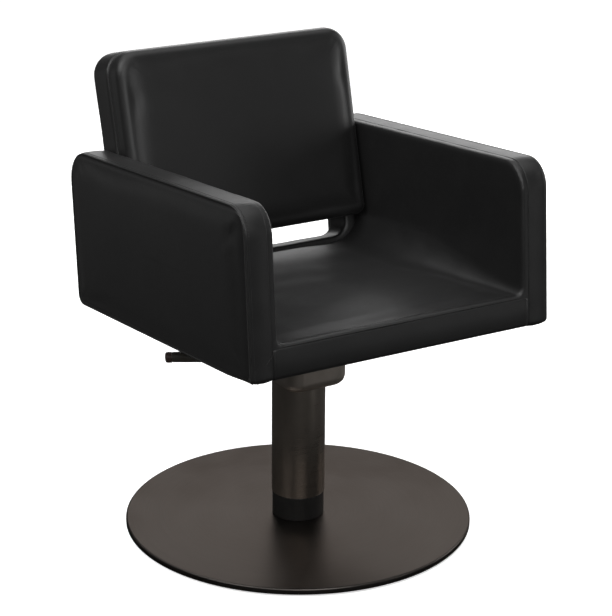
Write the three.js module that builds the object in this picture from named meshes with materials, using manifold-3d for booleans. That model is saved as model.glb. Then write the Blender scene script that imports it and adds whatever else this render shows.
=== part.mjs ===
// Salon styling chair: an upholstered tub on a pump column with a round floor plate.
// Millimetres, +Z up. The chair faces -Y, +X is to the right seen from the front,
// and the origin is on the floor under the column's axis.
import * as THREE from 'three';
import { mergeVertices } from 'three/addons/utils/BufferGeometryUtils.js';
import Module from 'manifold-3d';

const wasm = await Module();
wasm.setup();

// ---- driving dimensions ----
const GAP = 0.3;                 // clearance kept between touching pieces
const ROUND = 40;                // sides of a turned piece

// floor plate and its glides
const DISC_R = 300;
const DISC_BOTTOM = 3;
const DISC_TOP = 13.8;
const GLIDE_COUNT = 6;
const GLIDE_CIRCLE_R = 276;
const GLIDE_R = 13.5;
const GLIDE_STEM_R = 4;
const GLIDE_STEM_TOP = 9;
const GLIDE_FIRST = -117;        // degrees, angle of the first glide about the axis
const SCREW_COUNT = 4;           // countersunk screws that hold the collar
const SCREW_CIRCLE_R = 28;
const SCREW_HEAD_R = 8;
const SCREW_R = 4;
const SCREW_TOP = 22;

// column
const SLEEVE_R = 46;
const SLEEVE_WALL = 2.5;
const SLEEVE_BOTTOM = 56.5;
const SLEEVE_TOP = 285;
const COLLAR_R = 44.8;
const COLLAR_FLOOR = 26;         // top of the collar's solid bottom
const COLLAR_BORE_R = 16;        // hole for the rod
const INNER_R = 41;              // fixed tube inside the sleeve
const INNER_WALL = 2.5;
const INNER_TOP = 240;
const WASHER_R = 24;
const WASHER_TOP = 30;
const BUSH_Z = [60, 84];
const ROD_R = 14;
const ROD_FOOT_R = 22;
const ROD_FOOT_TOP = 38;
const BARREL_R = 27;
const BARREL_BORE_R = 20;
const BARREL_BOTTOM = 62;
const BARREL_TOP = 330;
const BARREL_END = 18;           // thickness of the barrel's closed end
const GLAND_TOP = 76;
const PISTON_Z = 286;
const PISTON_HEIGHT = 16;

// pump head and lever
const HEAD_BOTTOM = 258.5;
const HEAD_TOP = 350;
const HEAD_X = [-50, 71];
const HEAD_Y = [-62, 50];
const HEAD_CORNERS = [26, 36, 42, 42];   // front left, front right, rear right, rear left
const HEAD_ROUNDING = 14;
const VALVE_SLIT_X = [-24.6, -22.6];
const VALVE_SLIT_Z = [274.5, 310];
const VALVE_SLIT_DEPTH = 7;
const LEVER_TURN = 148.6;        // degrees, the way the lever points, seen from above
const LEVER_PIVOT = 62;          // from the column's axis to the pivot pin
const LEVER_PIVOT_Z = 306;
const LEVER_DROOP = 2.6;         // degrees below level at rest
const LEVER_LENGTH = 166;        // from the pivot pin to the end of the grip
const LEVER_ROD_R = 6;
const LEVER_EYE_R = 11;
const GRIP_R = [8.8, 12];        // at the outer end and at the inner end
const GRIP_LENGTH = 96;
const CAP_R = 9.8;
const CAP_LENGTH = 11.7;
const HEAD_SLOT_WIDTH = 15;      // slot of the head in which the lever's eye works
const HEAD_SLOT_TOP = 13;        // the slot's ceiling, from the pivot's height
const LUG_X = [-30, 12];         // boss that carries the pin, along the lever
const LUG_Z = [-26, 22];
const LUG_CORNERS = [8, 12, 12, 8];
const PIN_R = 4;
const PIN_HALF = 22;
const TAIL_R = 4;                // rounded nose of the lever's tail, under the plunger
const PLUNGER_OFFSET = 19;       // from the pivot pin towards the column
const PLUNGER_R = 5;
const PLUNGER_Z = [TAIL_R + GAP, 20];    // from the pivot's height
const SPRING_Z = [21, 36];
const SPRING_R = 3.9;
const SPRING_WIRE_R = 0.8;
const SPRING_TURNS = 5;

// seat mounting
const WEDGE_X = [-46, 46];
const WEDGE_Y = [-46, 42];
const PLATE_HALF = [95, 105];
const PLATE_Z = [-2.3, 3.7];     // from the tub's underside
const BOLT_OFFSET = [75, 85];
const BOLT_R = 4;
const BOLT_FLATS = 13;
const BOLT_HEAD = 5.3;

// tub: the seat and arms lean back together about the axis at the underside
const TILT = 4.5;
const TUB_Z = 385.4;
const HALF_WIDTH = 277.4;
const ARM_THICK = 48.6;
const TUB_FRONT = -321.9;
const ARM_REAR = 278.7;
const ARM_HEIGHT = 272.5;
const SEAT_HEIGHT = 55.3;        // top of the seat's front edge above the underside
const BAND_THICK = 31;           // inner part of the arm: band, core and lining
const INNER_X = HALF_WIDTH - ARM_THICK;
const BOARD_Z = [4, 22];         // seat board, from the underside
const BOARD_HALF = 226;
const BOARD_Y = [-296, 138];
const COVER_Z = [2.2, 3.7];
const FILLET = 35;               // seat lining's rounding up into the arms
const FILLET_EDGE = 4;           // thickness of the lining at the fillet's top
const FRONT_BAND = 24;
const FRONT_BAND_CORNERS = [8, 2, 2, 8];
const ARM_RADII = [8, 18, 58, 45];      // front low, rear low, rear high, front high
const CORE_X = [238, 250];
const CORE_INSET = 30;
const CORE_HEIGHT = 235;
const CORE_RADII = [8, 8, 30, 20];
const PANEL_INSET = 1.5;

// brackets that carry the back
const BRACKET_X = 150;
const BRACKET_HALF = 20;
const BRACKET_Y = [70, 141.5];
const BRACKET_THICK = 3;
const BRACKET_HEIGHT = 50;
const BRACKET_BOLT_Y = 95;
const BRACKET_BOLT_R = 3;
const BRACKET_BOLT_FLATS = 10;
const BRACKET_BOLT_HEAD = 4;

// back: leans further back than the tub
const BACK_LEAN = 9.37;
const BACK_Y = 152.3;            // joint face between shell and cushion, at the underside
const BACK_HALF = 227.5;
const BACK_BOTTOM = 2;
const BACK_TOP = 441;
const BACK_CORNER = 40;
const SHELL_FOOT_CORNER = 8;
const SHELL_THICK = 55;
const CUSHION_THICK = 44;
const CUSHION_BOTTOM = 106;
const CUSHION_FOOT_CORNER = 15;
const SLOT_Z = [71.5, 128];
const SLOT_HALF = 203;
const SLOT_CORNER = 25;
const BACK_CORE_Y = [18, 30];
const BACK_CORE_HALF = 220;
const BACK_CORE_BOTTOM = 4;
const BACK_CORE_TOP = 420;
const BACK_CORE_CORNER = 30;
const BACK_CORE_MARGIN = 4;      // between the slot and the board's own hole

// ---- materials ----
function finish(color, roughness, metalness) {
  return new THREE.MeshStandardMaterial({ color, roughness, metalness });
}
const bronze = finish(0x4d4844, 0.42, 0.85);
const blackSteel = finish(0x1b1a19, 0.5, 0.6);
const steel = finish(0x9a9a9a, 0.35, 1.0);
const leather = finish(0x161616, 0.5, 0.0);
const sheet = finish(0x0f0f0f, 0.9, 0.0);
const plywood = finish(0xb08c5a, 0.8, 0.0);
const nylon = finish(0x202020, 0.6, 0.0);
const grip = finish(0x3a3431, 0.55, 0.1);

// ---- solids ----
function solid(geometry) {
  const bare = geometry.index ? geometry.clone() : geometry;
  bare.deleteAttribute('normal');
  bare.deleteAttribute('uv');
  const merged = mergeVertices(bare, 1e-4);
  return new wasm.Manifold(new wasm.Mesh({
    numProp: 3,
    vertProperties: new Float32Array(merged.attributes.position.array),
    triVerts: new Uint32Array(merged.index.array),
  }));
}

function geometryOf(manifold) {
  const mesh = manifold.getMesh();
  const geometry = new THREE.BufferGeometry();
  geometry.setAttribute('position', new THREE.BufferAttribute(new Float32Array(mesh.vertProperties), 3));
  geometry.setIndex(new THREE.BufferAttribute(new Uint32Array(mesh.triVerts), 1));
  return geometry;
}

function cut(body, ...tools) {
  return geometryOf(tools.reduce((left, tool) => left.subtract(solid(tool)), solid(body)));
}

function joined(...pieces) {
  return geometryOf(pieces.slice(1).reduce((sum, piece) => sum.add(solid(piece)), solid(pieces[0])));
}

// a box given by its low and high corners
function box(low, high) {
  const size = high.map((value, i) => value - low[i]);
  const middle = high.map((value, i) => (value + low[i]) / 2);
  return new THREE.BoxGeometry(...size).translate(...middle);
}

// a round bar along +Z
function bar(radius, low, high, sides = ROUND) {
  const geometry = new THREE.CylinderGeometry(radius, radius, high - low, sides);
  return geometry.rotateX(Math.PI / 2).translate(0, 0, (low + high) / 2);
}

// a profile of [radius, z] points turned about Z; it closes on itself or on the axis
function turned(points, sides = ROUND) {
  const profile = points.map(([r, z]) => new THREE.Vector2(r, z));
  return new THREE.LatheGeometry(profile, sides).rotateX(Math.PI / 2);
}

function ring(inner, outer, low, high, sides = ROUND) {
  return turned([[inner, low], [outer, low], [outer, high], [inner, high], [inner, low]], sides);
}

// a rectangle with its own radius at each corner: low left, low right, high right, high left
function roundedShape(low, high, radii) {
  const [left, bottom] = low;
  const [right, top] = high;
  const [a, b, c, d] = radii;
  const shape = new THREE.Shape();
  shape.moveTo(left + a, bottom);
  shape.lineTo(right - b, bottom);
  shape.absarc(right - b, bottom + b, b, -Math.PI / 2, 0, false);
  shape.lineTo(right, top - c);
  shape.absarc(right - c, top - c, c, 0, Math.PI / 2, false);
  shape.lineTo(left + d, top);
  shape.absarc(left + d, top - d, d, Math.PI / 2, Math.PI, false);
  shape.lineTo(left, bottom + a);
  shape.absarc(left + a, bottom + a, a, Math.PI, Math.PI * 1.5, false);
  return shape;
}

function extruded(shape, depth, curveSegments = 8) {
  return new THREE.ExtrudeGeometry(shape, { depth, bevelEnabled: false, curveSegments });
}

// a shape drawn in (y, z) and given a thickness along X
function sideways(shape, lowX, highX, curveSegments = 8) {
  const upright = new THREE.Matrix4().set(0, 0, 1, lowX, 1, 0, 0, 0, 0, 1, 0, 0, 0, 0, 0, 1);
  return extruded(shape, highX - lowX, curveSegments).applyMatrix4(upright);
}

// a shape drawn in (x, z) and given a thickness along Y
function facing(shape, lowY, highY, curveSegments = 8) {
  return extruded(shape, highY - lowY, curveSegments).rotateX(Math.PI / 2).translate(0, highY, 0);
}

// ---- scene graph ----
const chair = new THREE.Group();
const tub = new THREE.Group();
tub.position.z = TUB_Z;
tub.rotation.x = THREE.MathUtils.degToRad(-TILT);
chair.add(tub);
const back = new THREE.Group();
back.position.y = BACK_Y;
back.rotation.x = THREE.MathUtils.degToRad(-BACK_LEAN);
tub.add(back);

function piece(parent, name, geometry, material) {
  const mesh = new THREE.Mesh(geometry, material.clone());
  mesh.name = name;
  parent.add(mesh);
  return mesh;
}

const SIDES = [['left', -1], ['right', 1]];

// ---- floor plate ----
function glidePosition(i) {
  const angle = THREE.MathUtils.degToRad(GLIDE_FIRST + (i * 360) / GLIDE_COUNT);
  return [GLIDE_CIRCLE_R * Math.cos(angle), GLIDE_CIRCLE_R * Math.sin(angle)];
}

function screwPosition(i) {
  const angle = (Math.PI / 4) + (i * 2 * Math.PI) / SCREW_COUNT;
  return [SCREW_CIRCLE_R * Math.cos(angle), SCREW_CIRCLE_R * Math.sin(angle)];
}

function countersunkScrew(grow) {
  const head = SCREW_HEAD_R + grow;
  const shank = SCREW_R + grow;
  const neck = DISC_BOTTOM + SCREW_HEAD_R - SCREW_R;
  const tip = SCREW_TOP + grow;
  return turned([[0, DISC_BOTTOM], [head, DISC_BOTTOM], [shank, neck], [shank, tip], [0, tip]], 20);
}

function buildBase() {
  const disc = turned([
    [0, DISC_BOTTOM], [DISC_R - 2, DISC_BOTTOM], [DISC_R, DISC_BOTTOM + 2],
    [DISC_R, DISC_TOP - 1.5], [DISC_R - 1.5, DISC_TOP], [0, DISC_TOP],
  ], 72);
  const holes = [];
  for (let i = 0; i < GLIDE_COUNT; i += 1) {
    const stem = bar(GLIDE_STEM_R + GAP, 0, GLIDE_STEM_TOP + GAP, 16);
    holes.push(stem.translate(...glidePosition(i), 0));
  }
  for (let i = 0; i < SCREW_COUNT; i += 1) {
    holes.push(countersunkScrew(GAP).translate(...screwPosition(i), 0));
    const mouth = bar(SCREW_HEAD_R + GAP, 0, DISC_BOTTOM + 0.05, 20);
    holes.push(mouth.translate(...screwPosition(i), 0));
  }
  piece(chair, 'base_disc', cut(disc, ...holes), bronze);

  for (let i = 0; i < GLIDE_COUNT; i += 1) {
    const pad = turned([
      [0, 0], [GLIDE_R - 1, 0], [GLIDE_R, 1], [GLIDE_R, DISC_BOTTOM - GAP],
      [GLIDE_STEM_R, DISC_BOTTOM - GAP], [GLIDE_STEM_R, GLIDE_STEM_TOP], [0, GLIDE_STEM_TOP],
    ], 16);
    piece(chair, `glide_${i + 1}`, pad.translate(...glidePosition(i), 0), nylon);
  }

  const low = DISC_TOP + GAP;
  const high = SLEEVE_BOTTOM - 0.5;
  const collar = turned([
    [COLLAR_BORE_R, low], [COLLAR_R, low], [COLLAR_R, high], [INNER_R + GAP, high],
    [INNER_R + GAP, COLLAR_FLOOR], [COLLAR_BORE_R, COLLAR_FLOOR], [COLLAR_BORE_R, low],
  ]);
  const threads = [];
  for (let i = 0; i < SCREW_COUNT; i += 1) {
    threads.push(countersunkScrew(GAP).translate(...screwPosition(i), 0));
    piece(chair, `base_screw_${i + 1}`, countersunkScrew(0).translate(...screwPosition(i), 0), steel);
  }
  piece(chair, 'base_collar', cut(collar, ...threads), blackSteel);
  const guide = ring(INNER_R - INNER_WALL, INNER_R, COLLAR_FLOOR + GAP, INNER_TOP);
  piece(chair, 'inner_tube', guide, blackSteel);
  const washer = ring(COLLAR_BORE_R, WASHER_R, COLLAR_FLOOR + GAP, WASHER_TOP);
  piece(chair, 'thrust_washer', washer, steel);
}

// ---- rod that turns in the collar ----
function buildRod() {
  const low = WASHER_TOP + GAP;
  const high = PISTON_Z - GAP;
  const rod = turned([
    [0, low], [ROD_FOOT_R, low], [ROD_FOOT_R, ROD_FOOT_TOP], [ROD_R, ROD_FOOT_TOP + 2],
    [ROD_R, high], [0, high],
  ], 32);
  piece(chair, 'piston_rod', rod, steel);
  const piston = bar(BARREL_BORE_R - GAP, PISTON_Z, PISTON_Z + PISTON_HEIGHT, 32);
  piece(chair, 'piston', piston, nylon);
}

// ---- column that rides on the rod ----
function buildColumn() {
  const sleeve = ring(SLEEVE_R - SLEEVE_WALL, SLEEVE_R, SLEEVE_BOTTOM, SLEEVE_TOP);
  piece(chair, 'column_sleeve', sleeve, bronze);
  const bush = ring(INNER_R + 2 * GAP, SLEEVE_R - SLEEVE_WALL - GAP, ...BUSH_Z);
  piece(chair, 'sleeve_bush', bush, nylon);
  const barrel = turned([
    [BARREL_BORE_R, BARREL_BOTTOM], [BARREL_R, BARREL_BOTTOM], [BARREL_R, BARREL_TOP], [0, BARREL_TOP],
    [0, BARREL_TOP - BARREL_END], [BARREL_BORE_R, BARREL_TOP - BARREL_END], [BARREL_BORE_R, BARREL_BOTTOM],
  ], 32);
  piece(chair, 'pump_barrel', barrel, steel);
  const gland = ring(ROD_R + GAP, BARREL_BORE_R - GAP, BARREL_BOTTOM + 1, GLAND_TOP, 32);
  piece(chair, 'barrel_gland', gland, nylon);
}

// ---- pump head, lever and plunger ----
// the lever's own frame: +X along the lever, +Z up, origin on the pivot pin
function leverFrame() {
  const turn = THREE.MathUtils.degToRad(LEVER_TURN);
  const group = new THREE.Group();
  group.position.set(LEVER_PIVOT * Math.cos(turn), LEVER_PIVOT * Math.sin(turn), LEVER_PIVOT_Z);
  group.rotation.z = turn;
  chair.add(group);
  group.updateMatrixWorld(true);
  return group;
}

function inLeverFrame(geometry, frame) {
  return geometry.clone().applyMatrix4(frame.matrixWorld);
}

function alongY(radius, low, high, sides = 20) {
  return bar(radius, low, high, sides).rotateX(Math.PI / 2);
}

function headShell() {
  const outline = roundedShape([HEAD_X[0], HEAD_Y[0]], [HEAD_X[1], HEAD_Y[1]], HEAD_CORNERS);
  return new THREE.ExtrudeGeometry(outline, {
    depth: HEAD_TOP - HEAD_BOTTOM - 2 * HEAD_ROUNDING, curveSegments: 6,
    bevelEnabled: true, bevelThickness: HEAD_ROUNDING, bevelSize: HEAD_ROUNDING,
    bevelOffset: -HEAD_ROUNDING, bevelSegments: 3,
  }).translate(0, 0, HEAD_BOTTOM + HEAD_ROUNDING);
}

function leverLug() {
  // boss of the head that carries the lever's pin
  const outline = roundedShape([LUG_X[0], LUG_Z[0]], [LUG_X[1], LUG_Z[1]], LUG_CORNERS);
  return facing(outline, -PIN_HALF, PIN_HALF, 5);
}

function buildHead(frame) {
  const body = joined(headShell(), inLeverFrame(leverLug(), frame));
  const halfSlot = HEAD_SLOT_WIDTH / 2;
  const slot = box([-PLUNGER_OFFSET - 8, -halfSlot, -60], [40, halfSlot, HEAD_SLOT_TOP]);
  const slit = box(
    [VALVE_SLIT_X[0], HEAD_Y[0] - 5, VALVE_SLIT_Z[0]],
    [VALVE_SLIT_X[1], HEAD_Y[0] + VALVE_SLIT_DEPTH, VALVE_SLIT_Z[1]],
  );
  const tools = [
    bar(SLEEVE_R + GAP, HEAD_BOTTOM - 30, SLEEVE_TOP + GAP),
    bar(BARREL_R + GAP, SLEEVE_TOP - 5, BARREL_TOP + GAP, 32),
    inLeverFrame(plungerBore(), frame),
    inLeverFrame(slot, frame),
    inLeverFrame(alongY(PIN_R + GAP, -PIN_HALF - 5, PIN_HALF + 5), frame),
    slit,
  ];
  piece(chair, 'pump_head', cut(body, ...tools), bronze);
  piece(frame, 'lever_pin', alongY(PIN_R, -PIN_HALF, PIN_HALF), steel);
}

function plungerBore() {
  return bar(PLUNGER_R + GAP, PLUNGER_Z[0], SPRING_Z[1] + 1, 20).translate(-PLUNGER_OFFSET, 0, 0);
}

// eye on the pin, tail whose nose lifts the plunger, and the rod inside the grip
function leverArm() {
  const halfEye = HEAD_SLOT_WIDTH / 2 - 0.5;
  const eye = alongY(LEVER_EYE_R, -halfEye, halfEye, 24);
  const tail = box([-PLUNGER_OFFSET, -5, -TAIL_R], [0, 5, TAIL_R]);
  const nose = alongY(TAIL_R, -5, 5, 20).translate(-PLUNGER_OFFSET, 0, 0);
  const droop = THREE.MathUtils.degToRad(LEVER_DROOP);
  const rod = bar(LEVER_ROD_R, 0, LEVER_LENGTH - 8, 20).rotateY(Math.PI / 2 + droop);
  return joined(eye, tail, nose, rod);
}

function buildLever(frame) {
  const droop = new THREE.Group();
  droop.rotation.y = THREE.MathUtils.degToRad(LEVER_DROOP);
  frame.add(droop);
  const arm = cut(leverArm(), alongY(PIN_R + GAP, -PIN_HALF, PIN_HALF));
  piece(frame, 'lever_arm', arm, bronze);
  const start = LEVER_LENGTH - GRIP_LENGTH;
  const end = LEVER_LENGTH - CAP_LENGTH;
  const bore = LEVER_ROD_R + GAP;
  const sleeve = turned([
    [bore, start], [GRIP_R[1] - 1.5, start], [GRIP_R[1], start + 1.5], [GRIP_R[0], end - GAP],
    [bore, end - GAP], [bore, start],
  ], 24);
  piece(droop, 'lever_grip', sleeve.rotateY(Math.PI / 2), grip);
  const seat = LEVER_LENGTH - 7.7;
  const cap = turned([
    [0, seat], [bore, seat], [bore, end], [CAP_R, end], [CAP_R, LEVER_LENGTH - 4],
    [CAP_R - 3, LEVER_LENGTH], [0, LEVER_LENGTH],
  ], 24);
  piece(droop, 'lever_end_cap', cap.rotateY(Math.PI / 2), grip);
}

function returnSpring() {
  const [low, high] = SPRING_Z;
  class Coil extends THREE.Curve {
    getPoint(t, target = new THREE.Vector3()) {
      const angle = t * SPRING_TURNS * 2 * Math.PI;
      const height = low + (high - low) * t;
      return target.set(SPRING_R * Math.cos(angle), SPRING_R * Math.sin(angle), height);
    }
  }
  const wire = new THREE.Shape();
  wire.absarc(0, 0, SPRING_WIRE_R, 0, Math.PI * 2, false);
  return new THREE.ExtrudeGeometry(wire, {
    steps: SPRING_TURNS * 8, curveSegments: 2, extrudePath: new Coil(), bevelEnabled: false,
  });
}

function buildPlunger(frame) {
  const plunger = bar(PLUNGER_R, ...PLUNGER_Z, 20).translate(-PLUNGER_OFFSET, 0, 0);
  piece(frame, 'pump_plunger', plunger, steel);
  piece(frame, 'plunger_spring', returnSpring().translate(-PLUNGER_OFFSET, 0, 0), steel);
}

// ---- seat mounting: wedge on the head, plate under the seat board ----
function hexBolt(low, high, radius, acrossFlats, headHeight) {
  const head = bar(acrossFlats / Math.sqrt(3), low - headHeight, low, 6);
  return joined(head, bar(radius, low - 0.5, high, 16));
}

function buildMounting() {
  const foot = roundedShape([WEDGE_X[0], WEDGE_Y[0]], [WEDGE_X[1], WEDGE_Y[1]], [10, 10, 10, 10]);
  const height = TUB_Z + PLATE_Z[0] - HEAD_TOP + 12;
  const block = extruded(foot, height, 4).translate(0, 0, HEAD_TOP + GAP);
  const above = box([-200, -200, PLATE_Z[0] - GAP], [200, 200, 80]).applyMatrix4(tub.matrixWorld);
  piece(chair, 'tilt_wedge', cut(block, above), blackSteel);

  const outline = roundedShape([-PLATE_HALF[0], -PLATE_HALF[1]], PLATE_HALF, [12, 12, 12, 12]);
  const plate = extruded(outline, PLATE_Z[1] - PLATE_Z[0], 4).translate(0, 0, PLATE_Z[0]);
  const holes = [];
  for (const [i, [x, y]] of [[-1, -1], [1, -1], [1, 1], [-1, 1]].entries()) {
    const at = [x * BOLT_OFFSET[0], y * BOLT_OFFSET[1], 0];
    holes.push(bar(BOLT_R + GAP, -10, 40, 16).translate(...at));
    const bolt = hexBolt(PLATE_Z[0] - GAP, BOARD_Z[1] - 2, BOLT_R, BOLT_FLATS, BOLT_HEAD);
    piece(tub, `mount_bolt_${i + 1}`, bolt.translate(...at), steel);
  }
  piece(tub, 'mount_plate', cut(plate, ...holes), blackSteel);
  return holes;
}

// ---- seat ----
function buildSeatBoard(boltHoles) {
  const board = box([-BOARD_HALF, BOARD_Y[0], BOARD_Z[0]], [BOARD_HALF, BOARD_Y[1], BOARD_Z[1]]);
  const bracketHoles = SIDES.map(([, side]) => (
    bar(BRACKET_BOLT_R + GAP, -10, BOARD_Z[1] - 4, 16).translate(side * BRACKET_X, BRACKET_BOLT_Y, 0)
  ));
  piece(tub, 'seat_board', cut(board, ...boltHoles, ...bracketHoles), plywood);
  const cover = box([-BOARD_HALF, BOARD_Y[0], COVER_Z[0]], [BOARD_HALF, BRACKET_Y[0] - 4, COVER_Z[1]]);
  const [halfX, halfY] = PLATE_HALF.map((half) => half + 3);
  const window = box([-halfX, -halfY, 0], [halfX, halfY, 10]);
  piece(tub, 'dust_cover', cut(cover, window), sheet);
}

// seat lining: flat in the middle, rounded up into the arms at both sides
function buildSeatCushion() {
  const half = INNER_X - GAP;
  const top = SEAT_HEIGHT;
  const low = BOARD_Z[1] + GAP;
  const arcX = half - FILLET_EDGE - FILLET;
  const shape = new THREE.Shape();
  shape.moveTo(-half, low);
  shape.lineTo(half, low);
  shape.lineTo(half, top + FILLET);
  shape.lineTo(half - FILLET_EDGE, top + FILLET);
  shape.absarc(arcX, top + FILLET, FILLET, 0, -Math.PI / 2, true);
  shape.lineTo(-arcX, top);
  shape.absarc(-arcX, top + FILLET, FILLET, -Math.PI / 2, -Math.PI, true);
  shape.lineTo(-half, top + FILLET);
  shape.lineTo(-half, low);
  const cushion = facing(shape, TUB_FRONT + FRONT_BAND + GAP, 200, 6);
  back.updateMatrixWorld(true);
  const behind = box([-300, -GAP, -60], [300, 200, 300]).applyMatrix4(back.matrix);
  const brackets = SIDES.map(([, side]) => (
    box([side * BRACKET_X - BRACKET_HALF - 1, BRACKET_Y[1] - 12, 0],
      [side * BRACKET_X + BRACKET_HALF + 1, BRACKET_Y[1] + 30, BRACKET_HEIGHT + 1])
  ));
  piece(tub, 'seat_cushion', cut(cushion, behind, ...brackets), leather);
  const band = roundedShape([TUB_FRONT, 0], [TUB_FRONT + FRONT_BAND, SEAT_HEIGHT], FRONT_BAND_CORNERS);
  const strip = sideways(band, -half, half, 6);
  const reach = BOARD_HALF + GAP;
  const room = box([-reach, BOARD_Y[0] - GAP, -1], [reach, 0, BOARD_Z[1] + GAP]);
  piece(tub, 'front_band', cut(strip, room), leather);
}

// ---- brackets that carry the back ----
function buildBrackets() {
  const lean = Math.tan(THREE.MathUtils.degToRad(BACK_LEAN));
  const [near, far] = BRACKET_Y;
  const low = BOARD_Z[0] - GAP - BRACKET_THICK;
  const profile = new THREE.Shape([
    new THREE.Vector2(near, low),
    new THREE.Vector2(far + BRACKET_THICK, low),
    new THREE.Vector2(far + BRACKET_THICK + lean * BRACKET_HEIGHT, BRACKET_HEIGHT),
    new THREE.Vector2(far + lean * BRACKET_HEIGHT, BRACKET_HEIGHT),
    new THREE.Vector2(far, BOARD_Z[0] - GAP),
    new THREE.Vector2(near, BOARD_Z[0] - GAP),
  ]);
  for (const [name, side] of SIDES) {
    const at = side * BRACKET_X;
    const plate = sideways(profile, at - BRACKET_HALF, at + BRACKET_HALF);
    const hole = bar(BRACKET_BOLT_R + GAP, -10, 30, 16).translate(at, BRACKET_BOLT_Y, 0);
    piece(tub, `back_bracket_${name}`, cut(plate, hole), blackSteel);
    const bolt = hexBolt(low - GAP, BOARD_Z[1] - 5, BRACKET_BOLT_R, BRACKET_BOLT_FLATS, BRACKET_BOLT_HEAD);
    piece(tub, `bracket_bolt_${name}`, bolt.translate(at, BRACKET_BOLT_Y, 0), steel);
  }
}

// ---- arms ----
// the board inside an arm, or its pocket, which is larger all round by grow
function coreInArm(grow) {
  const floor = grow > 0 ? -5 : 1;
  const low = [TUB_FRONT + CORE_INSET - grow, floor];
  const high = [ARM_REAR - CORE_INSET + grow, CORE_HEIGHT + grow];
  return roundedShape(low, high, CORE_RADII.map((radius) => radius + grow));
}

function armOutline(inset) {
  const low = [TUB_FRONT + inset, inset];
  const high = [ARM_REAR - inset, ARM_HEIGHT - inset];
  return roundedShape(low, high, ARM_RADII.map((radius) => radius - inset));
}

function buildArms() {
  for (const [name, side] of SIDES) {
    const span = (near, far) => (side > 0 ? [near, far] : [-far, -near]);
    const pad = sideways(armOutline(0), ...span(INNER_X, INNER_X + BAND_THICK), 6);
    const board = sideways(coreInArm(0), ...span(...CORE_X), 4);
    const pocket = sideways(coreInArm(GAP), ...span(CORE_X[0] - GAP, CORE_X[1] + GAP), 4);
    piece(tub, `arm_pad_${name}`, cut(pad, pocket), leather);
    piece(tub, `arm_board_${name}`, board, plywood);
    const panel = sideways(armOutline(PANEL_INSET), ...span(INNER_X + BAND_THICK + GAP, HALF_WIDTH), 6);
    piece(tub, `side_panel_${name}`, panel, leather);
  }
}

// ---- back ----
// the board inside the shell, or its pocket, which is larger all round by grow
function coreInBack(grow) {
  const foot = grow > 0 ? -5 : BACK_CORE_BOTTOM;
  const corner = BACK_CORE_CORNER + grow;
  const outline = roundedShape(
    [-BACK_CORE_HALF - grow, foot], [BACK_CORE_HALF + grow, BACK_CORE_TOP + grow], [1, 1, corner, corner],
  );
  const margin = BACK_CORE_MARGIN - grow;
  const round = SLOT_CORNER - 5;
  outline.holes.push(roundedShape(
    [-SLOT_HALF - margin, SLOT_Z[0] - margin], [SLOT_HALF + margin, SLOT_Z[1] + margin],
    [round, round, round, round],
  ));
  return outline;
}

function buildBack() {
  const outer = roundedShape(
    [-BACK_HALF, BACK_BOTTOM], [BACK_HALF, BACK_TOP],
    [SHELL_FOOT_CORNER, SHELL_FOOT_CORNER, BACK_CORNER, BACK_CORNER],
  );
  outer.holes.push(roundedShape(
    [-SLOT_HALF, SLOT_Z[0]], [SLOT_HALF, SLOT_Z[1]],
    [SLOT_CORNER, SLOT_CORNER, SLOT_CORNER, SLOT_CORNER],
  ));
  const shell = facing(outer, 0, SHELL_THICK, 6);
  const pocket = facing(coreInBack(GAP), BACK_CORE_Y[0] - GAP, BACK_CORE_Y[1] + GAP, 4);
  piece(back, 'back_shell', cut(shell, pocket), leather);
  piece(back, 'back_board', facing(coreInBack(0), ...BACK_CORE_Y, 4), plywood);
  const front = roundedShape(
    [-BACK_HALF, CUSHION_BOTTOM], [BACK_HALF, BACK_TOP],
    [CUSHION_FOOT_CORNER, CUSHION_FOOT_CORNER, BACK_CORNER, BACK_CORNER],
  );
  const cushion = facing(front, -CUSHION_THICK, -GAP, 6);
  piece(back, 'back_cushion', cushion, leather);
}

chair.updateMatrixWorld(true);
const leverPivot = leverFrame();
buildBase();
buildRod();
buildColumn();
buildHead(leverPivot);
buildLever(leverPivot);
buildPlunger(leverPivot);
const mountHoles = buildMounting();
buildSeatBoard(mountHoles);
buildSeatCushion();
buildBrackets();
buildArms();
buildBack();

export default chair;
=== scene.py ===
import bmesh
import bpy
import math
import numpy as np
from mathutils import Matrix, Vector, kdtree


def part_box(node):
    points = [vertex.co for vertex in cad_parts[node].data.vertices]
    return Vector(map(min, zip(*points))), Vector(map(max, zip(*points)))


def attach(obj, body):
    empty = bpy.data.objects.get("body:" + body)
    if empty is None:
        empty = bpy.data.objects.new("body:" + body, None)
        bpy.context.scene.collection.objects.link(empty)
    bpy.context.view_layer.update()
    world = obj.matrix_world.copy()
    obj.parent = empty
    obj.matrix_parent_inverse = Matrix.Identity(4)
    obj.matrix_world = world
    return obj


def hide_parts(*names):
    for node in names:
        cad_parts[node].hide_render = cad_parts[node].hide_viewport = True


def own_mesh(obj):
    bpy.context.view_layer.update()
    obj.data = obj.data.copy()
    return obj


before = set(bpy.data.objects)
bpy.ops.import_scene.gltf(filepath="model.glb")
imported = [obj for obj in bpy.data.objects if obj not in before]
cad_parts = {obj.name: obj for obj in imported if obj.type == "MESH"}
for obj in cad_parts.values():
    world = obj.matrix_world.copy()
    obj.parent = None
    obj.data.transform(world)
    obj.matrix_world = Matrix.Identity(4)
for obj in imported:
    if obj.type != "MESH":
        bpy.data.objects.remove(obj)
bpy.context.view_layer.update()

# ---- dimensions of the upholstery, metres, in the frames of the leaning tub and the back ----
TUB_LEAN = math.radians(4.5)
TUB = Matrix.Translation((0, 0, 0.3854)) @ Matrix.Rotation(-TUB_LEAN, 4, "X")
BACK_FOOT = 0.1523       # where the back's front plane meets the tub's floor
BACK_LEAN = math.radians(9.37)
BACK = TUB @ Matrix.Translation((0, BACK_FOOT, 0)) @ Matrix.Rotation(-BACK_LEAN, 4, "X")
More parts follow.
